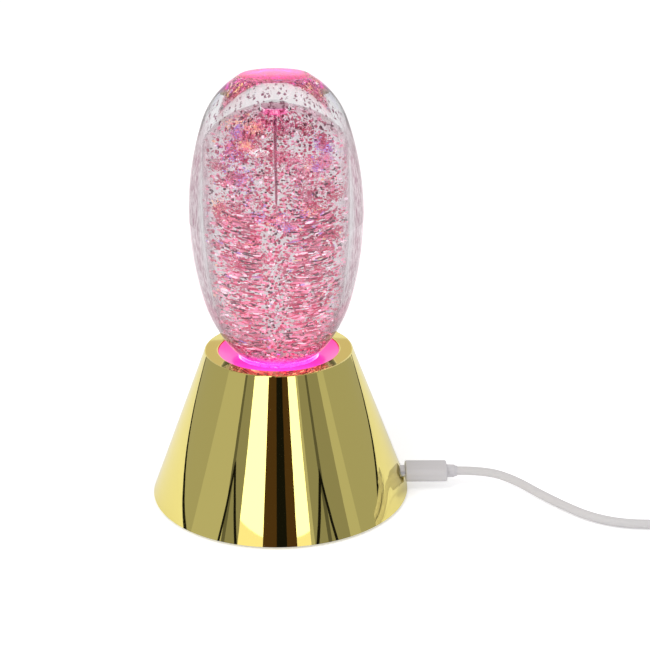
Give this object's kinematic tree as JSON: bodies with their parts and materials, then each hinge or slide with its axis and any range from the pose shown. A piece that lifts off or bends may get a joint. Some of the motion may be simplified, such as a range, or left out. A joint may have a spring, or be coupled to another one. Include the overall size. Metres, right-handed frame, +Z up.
{
  "type": "glitter lamp",
  "caption": "Clear lava-lamp-shaped vessel of liquid and glitter on a mirror-gold cone base with a lit ring, a stirring motor, and a plug-in power cord.",
  "frame": {"origin": "on the surface that the feet rest on, under the middle of the base", "axes": "+Z up along the lamp's axis; +X out of the power socket, where the plug and cord leave; +Y completes the right-handed frame and points away from the viewer of the picture"},
  "size_m": [0.282, 0.1119, 0.18],
  "materials": {
    "gold_mirror": "mirror",
    "black_plastic": "matte",
    "white_plastic": "matte",
    "steel": "satin",
    "black_rubber": "matte",
    "clear_wall": "gloss",
    "liquid": "gloss",
    "glitter": "gloss",
    "brass": "satin",
    "green_board": "satin",
    "led_white": "gloss",
    "pink_glow": "gloss",
    "cord_white": "satin",
    "plug_white": "satin",
    "wire_red": "satin"
  },
  "bodies": {
    "lamp": {"base_cone": "gold_mirror", "bottom_cover": "black_plastic", "cover_screws": "steel", "rubber_feet": "black_rubber", "switch_body": "black_plastic", "vessel_shell": "clear_wall", "vessel_stopper": "white_plastic", "stopper_seal": "black_rubber", "pivot_pin": "steel", "pivot_cap": "brass", "motor_can": "steel", "motor_end_cap": "black_plastic", "motor_terminals": "brass", "motor_bracket": "black_plastic", "bracket_screws": "steel", "motor_screws": "steel", "vessel_frame": "black_plastic", "frame_screws": "steel", "retaining_clip": "steel", "light_board": "green_board", "leds": "led_white", "light_screws": "steel", "glow_ring": "pink_glow", "circuit_board": "green_board", "board_screws": "steel", "board_parts": "black_plastic", "power_socket": "steel", "socket_tongue": "black_plastic", "plug_shell": "steel", "plug_body": "plug_white", "strain_relief": "plug_white", "cord_coil": "cord_white", "power_cord": "cord_white", "cord_tail": "cord_white", "far_strain_relief": "plug_white", "far_plug_body": "plug_white", "far_plug_shell": "steel", "far_plug_insert": "white_plastic", "light_wires": "wire_red", "motor_wires": "wire_red"},
    "rotor": {"motor_shaft": "steel", "magnet_carrier": "white_plastic", "drive_magnets": "steel"},
    "impeller": {"impeller": "white_plastic", "impeller_magnets": "steel"},
    "swirl": {"liquid_fill": "liquid", "glitter_flakes": "glitter"},
    "switch": {"switch_slider": "white_plastic"}
  },
  "joints": [
    {"name": "rotor_spin", "type": "hinge", "parent": "lamp", "child": "rotor", "pos_m": [0, 0, 0.0378], "axis": [0, 0, 1], "continuous": true},
    {"name": "impeller_spin", "type": "hinge", "parent": "lamp", "child": "impeller", "pos_m": [0, 0, 0.0489], "axis": [0, 0, 1], "continuous": true},
    {"name": "liquid_swirl", "type": "hinge", "parent": "lamp", "child": "swirl", "pos_m": [0, 0, 0.11], "axis": [0, 0, 1], "continuous": true},
    {"name": "switch_slide", "type": "slide", "parent": "lamp", "child": "switch", "axis": [1, 0, 0], "range_m": [-0.0025, 0]}
  ],
  "couplings": [
    {"joint": "impeller_spin", "follows": "rotor_spin", "ratio": 1}
  ]
}
